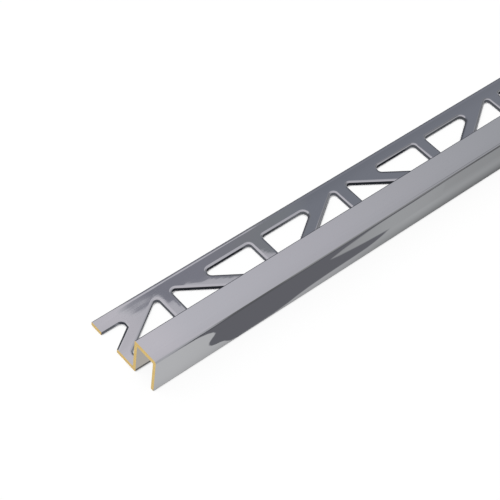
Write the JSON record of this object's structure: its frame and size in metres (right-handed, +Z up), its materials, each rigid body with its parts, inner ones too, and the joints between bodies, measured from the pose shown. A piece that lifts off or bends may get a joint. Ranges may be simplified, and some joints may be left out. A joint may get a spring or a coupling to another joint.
{
  "type": "tile edge trim",
  "caption": "Square tile edge trim: a top face with a front lip over a riser, and a punched anchoring leg that is bedded under the tiles.",
  "frame": {"origin": "middle of the base, the plane that the leg and the front lip rest on", "axes": "+X along the length, away from the end seen in the picture; +Y from the front lip towards the leg's free edge; +Z up"},
  "size_m": [1, 0.026, 0.0125],
  "materials": {
    "plated_brass": "bright chrome plate over brass, the two sawn ends bare"
  },
  "bodies": {
    "root": {"trim_profile": "plated_brass"}
  },
  "joints": []
}
